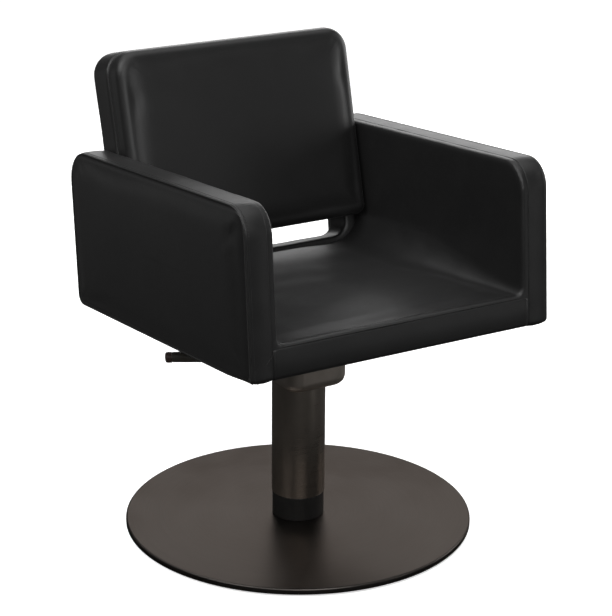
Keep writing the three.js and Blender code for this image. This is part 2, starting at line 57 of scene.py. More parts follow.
X_IN = 0.2288            # inner face of the arms
X_SEAM = 0.2405          # seam between an arm's lining and its band
X_OUT = 0.2766           # outer edge of the band
X_FACE = 0.2776          # side panel's face
ARM_LOW = (-0.3219, 0.0)      # front lower corner of the arm's outline
ARM_HIGH = (0.2787, 0.2725)   # rear upper corner
ARM_RADII = (0.009, 0.018, 0.058, 0.045)
ARM_MIDDLE = (-0.0216, 0.136)
SEAT_TOP = 0.0553
BACK_HALF = 0.2275
BACK_BOTTOM = 0.002
BACK_TOP = 0.441
BACK_RADII = (0.010, 0.010, 0.040, 0.040)
CUSHION_RADII = (0.018, 0.018, 0.040, 0.040)
CUSHION_FACE = -0.0430
CUSHION_ROLL = 0.0170
CUSHION_LOW = 0.106
SHELL_REAR = 0.0548
SLOT = (0.203, 0.0715, 0.128)    # half width, lower and upper edge
SLOT_RADII = (0.025,) * 4

# ---- dimensions that repeat ----
WELT_SIDES = 8
STITCH_PITCH = 0.0046
STITCH_LENGTH = 0.0034
STITCH_RADIUS = 0.00042
STITCH_SIDES = 6
FILLET_STEPS = 6
COVER_VOXEL = 0.0030
CLOTH_VOXEL = 0.006
CLOTH_PRESSURE = 4.0
CLOTH_FRAMES = 20
EDGE_START, EDGE_END = 0.54, 0.62     # pointiness at which an edge starts to look worn


# ---- small tools ----
def smoothstep(value, low, high):
    t = np.clip((np.asarray(value, float) - low) / (high - low), 0, 1)
    return t * t * (3 - 2 * t)


def ripple(points, wavelength, seed, waves=9):
    """Smooth random-looking field from -1 to 1, the same each run."""
    state = np.random.RandomState(seed)
    total = np.zeros(len(points))
    for _ in range(waves):
        direction = state.normal(size=3)
        direction /= np.linalg.norm(direction)
        length = wavelength * state.uniform(0.6, 1.7)
        total += np.sin(points @ direction * (2 * math.pi / length) + state.uniform(0, 2 * math.pi))
    return total / waves ** 0.5 / 1.6


def moved(matrix, points):
    m = np.array(matrix)
    return np.asarray(points, float) @ m[:3, :3].T + m[:3, 3]


def added(name, data):
    obj = bpy.data.objects.new(name, data)
    bpy.context.scene.collection.objects.link(obj)
    return obj


def mesh_piece(name, points, faces, matrix=None, smooth=True):
    if matrix is not None:
        points = moved(matrix, points)
    mesh = bpy.data.meshes.new(name)
    mesh.from_pydata([tuple(p) for p in points], [], [tuple(f) for f in faces])
    mesh.validate()
    if smooth:
        mesh.polygons.foreach_set("use_smooth", [True] * len(mesh.polygons))
    return added(name, mesh)


def baked(obj):
    """Apply every modifier."""
    graph = bpy.context.evaluated_depsgraph_get()
    mesh = bpy.data.meshes.new_from_object(obj.evaluated_get(graph))
    mesh.name = obj.name
    old = obj.data
    obj.modifiers.clear()
    obj.data = mesh
    bpy.data.meshes.remove(old)
    mesh.polygons.foreach_set("use_smooth", [True] * len(mesh.polygons))
    return obj


def remeshed(obj, voxel, smoothing):
    step = obj.modifiers.new("voxels", "REMESH")
    step.mode = "VOXEL"
    step.voxel_size = voxel
    step.use_smooth_shade = True
    soften = obj.modifiers.new("soften", "SMOOTH")
    soften.factor = 0.5
    soften.iterations = smoothing
    return baked(obj)


def cut(obj, cutter):
    """Take the cutter's volume out of obj, and the cutter out of the scene."""
    step = obj.modifiers.new("cut", "BOOLEAN")
    step.operation = "DIFFERENCE"
    step.solver = "EXACT"
    step.object = cutter
    baked(obj)
    bpy.data.objects.remove(cutter)
    return obj


def points_of(obj):
    co = np.empty(len(obj.data.vertices) * 3)
    obj.data.vertices.foreach_get("co", co)
    return co.reshape(-1, 3)


def normals_of(obj):
    no = np.empty(len(obj.data.vertices) * 3)
    obj.data.vertices.foreach_get("normal", no)
    return no.reshape(-1, 3)


def set_points(obj, points):
    obj.data.vertices.foreach_set("co", np.asarray(points, float).ravel())
    obj.data.update()


def place(obj, matrix):
    obj.data.transform(matrix)
    return obj


def stuffed(obj, cap, axis, held, free):
    """Swell a copy as filled cloth, held where held() is 1, and carry its movement along axis to obj,
    up to cap times free()."""
    copy = remeshed(added(obj.name + "_filling", obj.data.copy()), CLOTH_VOXEL, 3)
    start = points_of(copy)
    group = copy.vertex_groups.new(name="held")
    for index, weight in enumerate(held(start)):
        if weight > 0:
            group.add([index], float(weight), "REPLACE")
    cloth = copy.modifiers.new("cloth", "CLOTH")
    cloth.settings.quality = 3
    cloth.settings.mass = 0.3
    cloth.settings.tension_stiffness = 12
    cloth.settings.compression_stiffness = 12
    cloth.settings.bending_stiffness = 0.4
    cloth.settings.use_pressure = True
    cloth.settings.uniform_pressure_force = CLOTH_PRESSURE
    cloth.settings.vertex_group_mass = "held"
    cloth.settings.effector_weights.gravity = 0
    cloth.point_cache.frame_start = 1
    cloth.point_cache.frame_end = CLOTH_FRAMES
    for frame_number in range(1, CLOTH_FRAMES + 1):
        bpy.context.scene.frame_set(frame_number)
    baked(copy)
    shift = points_of(copy) - start
    bpy.data.objects.remove(copy)
    bpy.context.scene.frame_set(1)
    axis = np.array(axis, float)
    shift = (cap * np.tanh(shift @ axis / cap))[:, None] * axis
    tree = kdtree.KDTree(len(start))
    for index, point in enumerate(start):
        tree.insert(point, index)
    tree.balance()
    points = points_of(obj)
    share = free(points)
    for i in np.flatnonzero(share > 0.002):
        near = tree.find_n(points[i], 5)
        weights = np.array([1 / (n[2] + CLOTH_VOXEL * 0.25) ** 2 for n in near])
        points[i] += weights @ shift[[n[1] for n in near]] / weights.sum() * share[i]
    set_points(obj, points)
    return obj


def outline(low, high, radii, inset=0.0, per_side=44, per_corner=12):
    """Rounded rectangle, anticlockwise, with the same number of points at every inset."""
    left, bottom = low[0] + inset, low[1] + inset
    right, top = high[0] - inset, high[1] - inset
    a, b, c, d = (max(r - inset, 0.0005) for r in radii)
    corners = [
        (left + a, bottom + a, a, 180), (right - b, bottom + b, b, 270),
        (right - c, top - c, c, 0), (left + d, top - d, d, 90),
    ]
    arcs = []
    for u, v, r, start in corners:
        angles = np.radians(start + 90 * np.arange(per_corner + 1) / per_corner)
        arcs.append(np.stack([u + r * np.cos(angles), v + r * np.sin(angles)], 1))
    out = []
    for i in range(4):
        out.append(arcs[i])
        start, end = arcs[i][-1], arcs[(i + 1) % 4][0]
        t = (np.arange(1, per_side) / per_side)[:, None]
        out.append(start * (1 - t) + end * t)
    return np.concatenate(out)


def ring_faces(count, rows, closed_rows=False):
    faces = []
    last = rows if closed_rows else rows - 1
    for j in range(last):
        a, b = j * count, ((j + 1) % rows) * count
        for i in range(count):
            k = (i + 1) % count
            faces.append((a + i, a + k, b + k, b + i))
    return faces


def rod_faces(count, rows):
    """Faces of a rod made of rings of points, with both ends closed."""
    first = tuple(reversed(range(count)))
    last = tuple(range((rows - 1) * count, rows * count))
    return ring_faces(count, rows) + [first, last]


def fixed_normals(obj):
    """Turn the faces of a closed mesh outwards."""
    bm = bmesh.new()
    bm.from_mesh(obj.data)
    bmesh.ops.recalc_face_normals(bm, faces=bm.faces)
    bm.to_mesh(obj.data)
    bm.free()
    return obj


def lathe(name, profile, sides, matrix=None):
    """Turned solid about Z from [radius, z] points; the ends lie on the axis or the profile closes."""
    points, faces = [], []
    rows = []
    for r, z in profile:
        if r < 1e-7:
            rows.append([len(points)])
            points.append((0, 0, z))
        else:
            rows.append(list(range(len(points), len(points) + sides)))
            for i in range(sides):
                angle = 2 * math.pi * i / sides
                points.append((r * math.cos(angle), r * math.sin(angle), z))
    for low, high in zip(rows, rows[1:]):
        for i in range(sides):
            k = (i + 1) % sides
            if len(low) == 1 and len(high) == 1:
                continue
            if len(low) == 1:
                faces.append((low[0], high[k], high[i]))
            elif len(high) == 1:
                faces.append((low[i], low[k], high[0]))
            else:
                faces.append((low[i], low[k], high[k], high[i]))
    return fixed_normals(mesh_piece(name, points, faces, matrix))


def rounded_profile(corners):
    """[radius, z, rounding] corners to a profile with each corner rounded."""
    out = []
    for i, (r, z, fillet) in enumerate(corners):
        if fillet <= 0 or i in (0, len(corners) - 1):
            out.append((r, z))
            continue
        here = np.array([r, z])
        before = np.array(corners[i - 1][:2]) - here
        after = np.array(corners[i + 1][:2]) - here
        before /= np.linalg.norm(before)
        after /= np.linalg.norm(after)
        start, end = here + before * fillet, here + after * fillet
        for t in np.linspace(0, 1, FILLET_STEPS + 1):
            p = start * (1 - t) ** 2 + here * 2 * t * (1 - t) + end * t ** 2
            out.append(tuple(p))
    return out


def tube(name, path, radius, closed, matrix, sides=WELT_SIDES):
    """Round welt or wire along a path of points."""
    path = np.asarray(path, float)
    count = len(path)
    if closed:
        tangent = np.roll(path, -1, 0) - np.roll(path, 1, 0)
    else:
        tangent = np.gradient(path, axis=0)
    tangent /= np.linalg.norm(tangent, axis=1)[:, None]
    guide, second_guide = [0.31, 0.17, 0.93], [0.9, -0.3, 0.1]
    side = np.cross(tangent, guide)
    nearly_parallel = np.linalg.norm(side, axis=1) < 0.25
    side[nearly_parallel] = np.cross(tangent[nearly_parallel], second_guide)
    side /= np.linalg.norm(side, axis=1)[:, None]
    up = np.cross(side, tangent)
    points = []
    for p, s, u in zip(path, side, up):
        for i in range(sides):
            angle = 2 * math.pi * i / sides
            points.append(p + radius * (math.cos(angle) * s + math.sin(angle) * u))
    faces = ring_faces(sides, count, True) if closed else rod_faces(sides, count)
    return fixed_normals(mesh_piece(name, points, faces, matrix))


def resampled(path, step, closed):
    """The path in equal steps of about the given length."""
    path = np.asarray(path, float)
    if closed:
        path = np.concatenate([path, path[:1]])
    lengths = np.linalg.norm(np.diff(path, axis=0), axis=1)
    along = np.concatenate([[0], np.cumsum(lengths)])
    count = max(2, int(round(along[-1] / step)))
    at = np.linspace(0, along[-1], count + 1)
    if closed:
        at = at[:-1]
    return np.stack([np.interp(at, along, path[:, i]) for i in range(3)], 1)


def resampled_like(values, count):
    """The rows of values, stretched to the given count."""
    at = np.linspace(0, len(values) - 1, count)
    index = np.arange(len(values))
    return np.stack([np.interp(at, index, values[:, i]) for i in range(3)], 1)


def stitches(name, path, normal, closed, matrix):
    """A row of thread stitches along a path, each a small pill lying on the surface."""
    at = resampled(path, STITCH_PITCH, closed)
    ahead = np.roll(at, -1, 0) - np.roll(at, 1, 0)
    if not closed:
        ahead = np.gradient(at, axis=0)
    ahead /= np.linalg.norm(ahead, axis=1)[:, None]
    normal = np.asarray(normal, float)
    if normal.ndim == 1:
        normal = np.tile(normal, (len(at), 1))
    else:
        normal = resampled_like(normal, len(at))
    points, faces = [], []
    stations = [(-0.5, 0.2, -0.9), (-0.42, 0.8, 0.0), (-0.2, 1.0, 0.45),    # along, width, rise
                (0.2, 1.0, 0.45), (0.42, 0.8, 0.0), (0.5, 0.2, -0.9)]
    pill = rod_faces(STITCH_SIDES, len(stations))
    for p, t, n in zip(at, ahead, normal):
        n = n - t * (n @ t)
        n /= np.linalg.norm(n)
        s = np.cross(t, n)
        base = len(points)
        for along, width, rise in stations:
            centre = p + t * along * STITCH_LENGTH + n * rise * STITCH_RADIUS
            for i in range(STITCH_SIDES):
                angle = 2 * math.pi * i / STITCH_SIDES
                points.append(centre + STITCH_RADIUS * width * (math.cos(angle) * s + math.sin(angle) * n))
        faces += [tuple(base + i for i in f) for f in pill]
    return fixed_normals(mesh_piece(name, points, faces, matrix))


def merged(name, objects):
    """One piece from several."""
    points, faces, offset = [], [], 0
    for obj in objects:
        points.append(points_of(obj))
        faces += [tuple(offset + v for v in p.vertices) for p in obj.data.polygons]
        offset += len(points[-1])
    for obj in objects:
        bpy.data.objects.remove(obj)
    return mesh_piece(name, np.concatenate(points), faces)


def prism(name, shape, low, high, axes):
    """Closed block: a flat outline along two axes, thick along the third."""
    n = len(shape)
    third = 3 - axes[0] - axes[1]
    points = np.zeros((2 * n, 3))
    for row, value in enumerate((low, high)):
        points[row * n:(row + 1) * n, axes[0]] = shape[:, 0]
        points[row * n:(row + 1) * n, axes[1]] = shape[:, 1]
        points[row * n:(row + 1) * n, third] = value
    faces = [(i, (i + 1) % n, n + (i + 1) % n, n + i) for i in range(n)]
    faces += [tuple(reversed(range(n))), tuple(range(n, 2 * n))]
    return fixed_normals(mesh_piece(name, points, faces))


# ---- materials ----
def shader(name):
    mat = bpy.data.materials.new(name)
    mat.use_nodes = True
    return mat, mat.node_tree.nodes, mat.node_tree.links, mat.node_tree.nodes["Principled BSDF"]


def noise(nodes, links, vector, scale, detail, rough):
    node = nodes.new("ShaderNodeTexNoise")
    node.inputs["Scale"].default_value = scale
    node.inputs["Detail"].default_value = detail
    node.inputs["Roughness"].default_value = rough
    links.new(vector, node.inputs["Vector"])
    return node.outputs["Fac"]


def spread(nodes, links, value, low, high, out_low, out_high):
    node = nodes.new("ShaderNodeMapRange")
    for key, number in (("From Min", low), ("From Max", high), ("To Min", out_low), ("To Max", out_high)):
        node.inputs[key].default_value = number
    links.new(value, node.inputs["Value"])
    return node.outputs["Result"]


def full_range(nodes, links, value, out_low=0, out_high=1):
    """Noise hardly leaves 0.3 to 0.7, so that part of it is spread over the whole output."""
    return spread(nodes, links, value, 0.3, 0.7, out_low, out_high)


def colour_mix(nodes, links, factor, first, second):
    node = nodes.new("ShaderNodeMix")
    node.data_type = "RGBA"
    links.new(factor, node.inputs["Factor"])
    for value, socket in ((first, node.inputs[6]), (second, node.inputs[7])):
        if isinstance(value, tuple):
            socket.default_value = (*value, 1)
        else:
            links.new(value, socket)
    return node.outputs[2]


def bump(nodes, links, height, strength, distance, before=None):
    node = nodes.new("ShaderNodeBump")
    node.inputs["Strength"].default_value = strength
    node.inputs["Distance"].default_value = distance
    links.new(height, node.inputs["Height"])
    if before is not None:
        links.new(before, node.inputs["Normal"])
    return node.outputs["Normal"]


def coordinates(nodes):
    return nodes.new("ShaderNodeTexCoord").outputs["Object"]


def leather_material(name, dark=0.0068, light=0.0082, rough=(0.43, 0.47), grain=0.12):
    mat, nodes, links, bsdf = shader(name)
    where = coordinates(nodes)
    cells = nodes.new("ShaderNodeTexVoronoi")
    cells.feature = "SMOOTH_F1"
    cells.inputs["Scale"].default_value = 820
    cells.inputs["Smoothness"].default_value = 0.6
    links.new(where, cells.inputs["Vector"])
    creases = noise(nodes, links, where, 260, 4, 0.6)
    slack = noise(nodes, links, where, 21, 2, 0.5)
    first = bump(nodes, links, slack, 0.04, 0.003)
    second = bump(nodes, links, creases, grain, 0.0006, first)
    third = bump(nodes, links, cells.outputs["Distance"], grain, 0.0005, second)
    links.new(third, bsdf.inputs["Normal"])
    cloud = noise(nodes, links, where, 7, 4, 0.6)
    base = colour_mix(nodes, links, full_range(nodes, links, cloud),
                      (dark, dark, dark * 1.02), (light, light * 0.985, light * 0.98))
    geometry = nodes.new("ShaderNodeNewGeometry")
    edge = spread(nodes, links, geometry.outputs["Pointiness"], EDGE_START, EDGE_END, 0, 0.16)
    worn = colour_mix(nodes, links, edge, base, (light * 2.2, light * 2.1, light * 2.0))
    links.new(worn, bsdf.inputs["Base Color"])
    patches = noise(nodes, links, where, 34, 5, 0.62)
    links.new(full_range(nodes, links, patches, *rough), bsdf.inputs["Roughness"])
    bsdf.inputs["Specular IOR Level"].default_value = 0.5
    bsdf.inputs["Sheen Weight"].default_value = 0.03
    bsdf.inputs["Sheen Roughness"].default_value = 0.4
    return mat


def radial_vector(nodes, links, where, across, around, along):
    """Coordinates for marks left by turning: fine across the radius, long around it."""
    parts = nodes.new("ShaderNodeSeparateXYZ")
    links.new(where, parts.inputs[0])

    def math_node(operation, a, b=None):
        node = nodes.new("ShaderNodeMath")
        node.operation = operation
        for socket, value in zip(node.inputs, (a, b)):
            if value is None:
                continue
            if isinstance(value, float):
                socket.default_value = value
            else:
                links.new(value, socket)
        return node.outputs[0]

    xx = math_node("MULTIPLY", parts.outputs[0], parts.outputs[0])
    yy = math_node("MULTIPLY", parts.outputs[1], parts.outputs[1])
    radius = math_node("SQRT", math_node("ADD", xx, yy))
    angle = math_node("ARCTAN2", parts.outputs[1], parts.outputs[0])
    combine = nodes.new("ShaderNodeCombineXYZ")
    links.new(math_node("MULTIPLY", radius, across), combine.inputs[0])
    links.new(math_node("MULTIPLY", angle, around), combine.inputs[1])
    links.new(math_node("MULTIPLY", parts.outputs[2], along), combine.inputs[2])
    return combine.outputs[0]


def metal_material(name, tone, rough, marks=(2600.0, 3.0, 40.0), scratch=0.05, rim=1.0):
    mat, nodes, links, bsdf = shader(name)
    where = coordinates(nodes)
    turned = radial_vector(nodes, links, where, *marks)
    lines = noise(nodes, links, turned, 1.0, 3, 0.6)
    smudge = noise(nodes, links, where, 9, 5, 0.6)
    shade = full_range(nodes, links, smudge)
    base = colour_mix(nodes, links, shade, tuple(t * 0.9 for t in tone), tuple(min(1, t * 1.1) for t in tone))
    geometry = nodes.new("ShaderNodeNewGeometry")
    edge = spread(nodes, links, geometry.outputs["Pointiness"], EDGE_START, EDGE_END, 0, 0.5)
    worn = colour_mix(nodes, links, edge, base, tuple(min(1, t * 1.6) for t in tone))
    links.new(worn, bsdf.inputs["Base Color"])
    mixed = nodes.new("ShaderNodeMath")
    mixed.operation = "ADD"
    links.new(full_range(nodes, links, lines, -0.05, 0.05), mixed.inputs[0])
    links.new(full_range(nodes, links, smudge, rough - 0.03, rough + 0.04), mixed.inputs[1])
    links.new(mixed.outputs[0], bsdf.inputs["Roughness"])
    links.new(bump(nodes, links, lines, scratch, 0.0004), bsdf.inputs["Normal"])
    bsdf.inputs["Metallic"].default_value = 1.0
    bsdf.inputs["Specular Tint"].default_value = (rim, rim, rim, 1)
    return mat


def plain_material(name, tone, rough, grain_scale, strength, distance=0.0006, vary=0.25, metallic=0.0):
    mat, nodes, links, bsdf = shader(name)
    where = coordinates(nodes)
    grains = noise(nodes, links, where, grain_scale, 4, 0.6)
    cloud = noise(nodes, links, where, 14, 4, 0.6)
    base = colour_mix(nodes, links, full_range(nodes, links, cloud),
                      tuple(t * (1 - vary) for t in tone), tuple(min(1, t * (1 + vary)) for t in tone))
    links.new(base, bsdf.inputs["Base Color"])
    links.new(full_range(nodes, links, grains, rough - 0.05, rough + 0.05), bsdf.inputs["Roughness"])
    links.new(bump(nodes, links, grains, strength, distance), bsdf.inputs["Normal"])
    bsdf.inputs["Metallic"].default_value = metallic
    return mat


def cloth_material(name, tone):
    mat, nodes, links, bsdf = shader(name)
    where = coordinates(nodes)
    threads = []
    for axis in ("X", "Y"):
        wave = nodes.new("ShaderNodeTexWave")
        wave.bands_direction = axis
        wave.inputs["Scale"].default_value = 230
        wave.inputs["Distortion"].default_value = 0.6
        links.new(where, wave.inputs["Vector"])
        threads.append(wave.outputs["Fac"])
    weave = nodes.new("ShaderNodeMath")
    weave.operation = "MAXIMUM"
    links.new(threads[0], weave.inputs[0])
    links.new(threads[1], weave.inputs[1])
    base = colour_mix(nodes, links, weave.outputs[0], tuple(t * 0.5 for t in tone), tone)
    links.new(base, bsdf.inputs["Base Color"])
    links.new(bump(nodes, links, weave.outputs[0], 0.5, 0.0006), bsdf.inputs["Normal"])
    fuzz = noise(nodes, links, where, 400, 2, 0.5)
    links.new(full_range(nodes, links, fuzz, 0.85, 0.98), bsdf.inputs["Roughness"])
    return mat


def wood_material(name):
    mat, nodes, links, bsdf = shader(name)
    where = coordinates(nodes)
    stretch = nodes.new("ShaderNodeMapping")
    stretch.inputs["Scale"].default_value = (6, 90, 260)
    links.new(where, stretch.inputs["Vector"])
    lines = noise(nodes, links, stretch.outputs[0], 1.0, 6, 0.65)
    base = colour_mix(nodes, links, lines, (0.36, 0.22, 0.11), (0.58, 0.42, 0.25))
    links.new(base, bsdf.inputs["Base Color"])
    links.new(full_range(nodes, links, lines, 0.6, 0.8), bsdf.inputs["Roughness"])
    links.new(bump(nodes, links, lines, 0.3, 0.0006), bsdf.inputs["Normal"])
    return mat


LEATHER = leather_material("leather_black")
# darker copy of the same black leather: painted shade for the arms' side panels and the front strip, which
# face away from the lights
LEATHER_PAINTED_SHADE = leather_material("leather_black_painted_shade", 0.0062, 0.0076, (0.44, 0.48))
# darker copy of the leather for every welt: painted shade, so the seams read as dark lines instead of
# catching highlights
WELT_PAINTED_SHADE = leather_material("leather_welt_painted_shade", 0.0045, 0.006, (0.52, 0.58), 0.1)
THREAD = plain_material("thread_black", (0.018, 0.018, 0.018), 0.55, 900, 0.4, 0.0003)
BRONZE_DISC = metal_material("bronze_disc", (0.085, 0.077, 0.072), 0.37, rim=0.28)
BRONZE_TUBE = metal_material("bronze_tube", (0.40, 0.355, 0.31), 0.32, (300.0, 1.2, 1900.0), 0.008)
BRONZE_CAST = plain_material("bronze_cast", (0.50, 0.45, 0.40), 0.42, 520, 0.14, 0.0005, 0.15, 1.0)
BLACK_STEEL = plain_material("black_steel", (0.028, 0.027, 0.026), 0.42, 420, 0.12, 0.0004, 0.2, 0.6)
BRIGHT = metal_material("bright_steel", (0.62, 0.61, 0.59), 0.24, (300.0, 1.0, 1500.0), 0.03)
NYLON = plain_material("nylon_black", (0.022, 0.022, 0.022), 0.5, 350, 0.15)
GRIP = plain_material("grip_rubber", (0.062, 0.058, 0.048), 0.46, 620, 0.22, 0.0005)
CAP = plain_material("grip_cap", (0.075, 0.048, 0.040), 0.38, 500, 0.12, 0.0004)
DUST = cloth_material("dust_cloth", (0.02, 0.02, 0.021))
WOOD = wood_material("plywood")


def dress(obj, material, body):
    obj.data.materials.clear()
    obj.data.materials.append(material)
    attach(obj, body)
    return obj


def repaint(node, material):
    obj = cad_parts[node]
    if not obj.material_slots:
        obj.data.materials.append(material)
    for slot in obj.material_slots:
        slot.material = material


def flat_at_x(shape, x):
    """An outline in the tub's side plane, at one x."""
    return np.column_stack([np.full(len(shape), x), shape])


def flat_at_y(shape, y):
    """An outline in the plane of the back, at one depth."""
    return np.column_stack([shape[:, 0], np.full(len(shape), y), shape[:, 1]])


# ---- arms ----
def tucked(points):
    """Rounds the lower outer corner at the front, where the cover is folded under."""
    radius = 0.011
    depth = np.clip(1 - points[:, 2] / radius, 0, 1)
    drop = radius * (1 - np.sqrt(1 - depth ** 2)) * (1 - smoothstep(points[:, 1] - ARM_LOW[0], 0.02, 0.08))
    out = np.array(points, float)
    width = np.abs(out[:, 0])
    out[:, 0] = np.sign(out[:, 0]) * (width - drop * smoothstep(width, X_SEAM, X_FACE))
    return out


def arm_outline(inset):
    return outline(ARM_LOW, ARM_HIGH, ARM_RADII, inset)


def arm_band(side):
    """Leather band round the arm's edge, from the lining's seam to the side panel's seam."""
    r, inner = 0.0022, 0.0010      # rounding at the outer and the inner edge
    turn = np.radians(np.linspace(0, 90, 6))
    rows = [(X_SEAM + 0.0008, 0.010), (X_SEAM + 0.0003, 0.005)]
    rows += [(X_SEAM + inner * (1 - math.cos(a)), inner * (1 - math.sin(a))) for a in turn]
    for t in np.linspace(0.08, 0.92, 9):
        x = X_SEAM + inner + (X_OUT - X_SEAM - inner - r) * t
        rows.append((x, -0.0011 * math.sin(math.pi * t)))
    rows += [(X_OUT - r * (1 - math.sin(a)), r * (1 - math.cos(a))) for a in turn]
    rows += [(X_OUT - 0.0004, 0.005), (X_OUT - 0.0012, 0.010)]
    rings = [flat_at_x(arm_outline(inset), x) for x, inset in rows]
    points = np.concatenate(rings)
    faces = ring_faces(len(rings[0]), len(rings), True)
    wave = ripple(points, 0.055, 11) * 0.00028
    inset_dir = points - np.array([0, *ARM_MIDDLE])
    inset_dir[:, 0] = 0
    inset_dir /= np.linalg.norm(inset_dir, axis=1)[:, None]
    points = points + inset_dir * wave[:, None]
    points[:, 0] *= side
    return fixed_normals(mesh_piece(f"arm_band_{name_of(side)}", tucked(points), faces, TUB))


def name_of(side):
    return "right" if side > 0 else "left"


def quarter(distance, reach):
    """0 past the roll's reach, 1 at the seam, along a quarter circle."""
    t = np.clip(1 - distance / reach, 0, 1)
    return 1 - np.sqrt(1 - t * t)


def blended_least(distances, softness):
    total = sum(np.exp(-np.asarray(d) / softness) for d in distances)
    return np.maximum(-softness * np.log(total), 0)


def side_panel(side):
    """Stuffed outer panel of an arm: seam, roll and a slight crown; the roll is widest at the front."""
    seam = 0.0026
    steps = (0, 0.0004, 0.001, 0.002, 0.0033, 0.005, 0.007, 0.0093, 0.012, 0.015, 0.0185,
             0.0225, 0.028, 0.036, 0.046, 0.058, 0.072, 0.088, 0.104, 0.118, 0.128, 0.1305)
    rows = [arm_outline(0.012)] + [arm_outline(seam + 0.0004 + step) for step in steps]
    count = len(rows[0])
    flat = np.concatenate(rows)
    y, h = flat[:, 0], flat[:, 1]
    front = np.maximum(y - ARM_LOW[0] - seam, 0)
    others = [ARM_HIGH[0] - seam - y, ARM_HIGH[1] - seam - h, h - seam]
    drop_front = 0.0100 * quarter(front, 0.0270)
    drop_other = 0.0058 * quarter(blended_least(others, 0.004), 0.0085)
    drop = np.sqrt(drop_front ** 2 + drop_other ** 2)
    rise = 0.0036 * np.prod([1 - np.exp(-np.maximum(d, 0) / 0.05) for d in (front, *others)], axis=0)
    x = X_FACE - drop + rise
    x[:count] = 0.2640
    x[count:2 * count] -= 0.0020
    points = np.column_stack([x, flat])
    faces = ring_faces(count, len(rows))
    faces.append(tuple(range((len(rows) - 1) * count, len(rows) * count)))
    faces.append(tuple(reversed(range(count))))
    near = np.exp(-((blended_least([front, *others], 0.004) - 0.012) / 0.010) ** 2)
    wave = ripple(points, 0.16, 23 + int(side)) * 0.00035
    tight = ripple(points, 0.024, 31) * 0.00016 * near
    points[:, 0] += wave + tight
    points[:, 0] *= side
    obj = fixed_normals(mesh_piece(f"arm_panel_{name_of(side)}", tucked(points), faces))

    def held(at):
        return 1 - smoothstep(np.abs(at[:, 0]), X_FACE - 0.007, X_FACE - 0.004)

    def free(at):
        rim = np.minimum.reduce([at[:, 1] - ARM_LOW[0] - 0.010, ARM_HIGH[0] - at[:, 1],
                                 ARM_HIGH[1] - at[:, 2], at[:, 2]])
        face = smoothstep(np.abs(at[:, 0]), X_FACE - 0.0075, X_FACE - 0.0015)
        return face * smoothstep(rim, 0.006, 0.040)

    return place(stuffed(obj, 0.0022, (side, 0, 0), held, free), TUB)


# ---- seat and lining of the arms, one continuous cover ----
def lining_parts():
    parts = []
    for side in (-1, 1):
        shape = outline(ARM_LOW, ARM_HIGH, ARM_RADII, 0.0006, 12, 10)
        low, high = sorted((side * X_IN, side * 0.2620))
        parts.append(prism("lining_side", shape, low, high, (1, 2)))
    half = X_IN + 0.004
    rows = []
    for t in np.linspace(0, 1, 26):
        y = ARM_LOW[0] + 0.0012 + t * 0.515
        radius = 0.012 + 0.050 * smoothstep(t, 0.0, 0.62)
        section = []
        for side in (-1, 1):
            arc = []
            for a in np.linspace(0, math.pi / 2, 14):
                x = X_IN - radius * (1 - math.sin(a))
                h = SEAT_TOP + radius * (1 - math.cos(a))
                arc.append((side * x, h))
            section.append(arc)
        left, right = section
        line = [(-half, 0.024), (-half, SEAT_TOP + radius)] + left[::-1]
        middle = np.linspace(-X_IN + radius, X_IN - radius, 16)[1:-1]
        crown = 0.004 * smoothstep(t, 0.02, 0.3)
        line += [(x, SEAT_TOP + crown * (1 - (x / X_IN) ** 2)) for x in middle]
        line += right + [(half, SEAT_TOP + radius), (half, 0.024)]
        rows.append([(x, y, h) for x, h in line])
    count = len(rows[0])
    points = [p for row in rows for p in row]
    parts.append(fixed_normals(mesh_piece("lining_seat", points, rod_faces(count, len(rows)))))
    return parts


def build_lining():
    obj = remeshed(merged("seat_lining", lining_parts()), COVER_VOXEL, 14)
    p = points_of(obj)
    n = normals_of(obj)
    limit = BACK_FOOT + p[:, 2] * math.tan(BACK_LEAN) - 0.0012
    between_arms = 1 - smoothstep(np.abs(p[:, 0]), X_IN - 0.002, X_IN + 0.004)
    seat_zone = smoothstep(p[:, 2], 0.03, 0.045) * between_arms
    over = np.maximum(p[:, 1] - (limit + 0.04), 0)
    p[:, 1] -= over * seat_zone
    soft = ripple(p, 0.12, 5) * 0.0007 + ripple(p, 0.035, 6) * 0.00018
    hidden = smoothstep(np.abs(p[:, 0]), X_SEAM - 0.004, X_SEAM)
    p += n * (soft * (1 - hidden))[:, None]
    set_points(obj, p)

    def held(at):
        in_arm = smoothstep(np.abs(at[:, 0]), X_IN, X_IN + 0.004)
        return np.maximum(in_arm, 1 - smoothstep(at[:, 2], 0.030, 0.045))

    def free(at):
        across = 1 - smoothstep(np.abs(at[:, 0]), X_IN - 0.055, X_IN - 0.012)
        along = smoothstep(at[:, 1] - ARM_LOW[0], 0.008, 0.050)
        return across * along * (1 - smoothstep(at[:, 2], SEAT_TOP + 0.015, SEAT_TOP + 0.035))

    return place(stuffed(obj, 0.0045, (0, 0, 1), held, free), TUB)


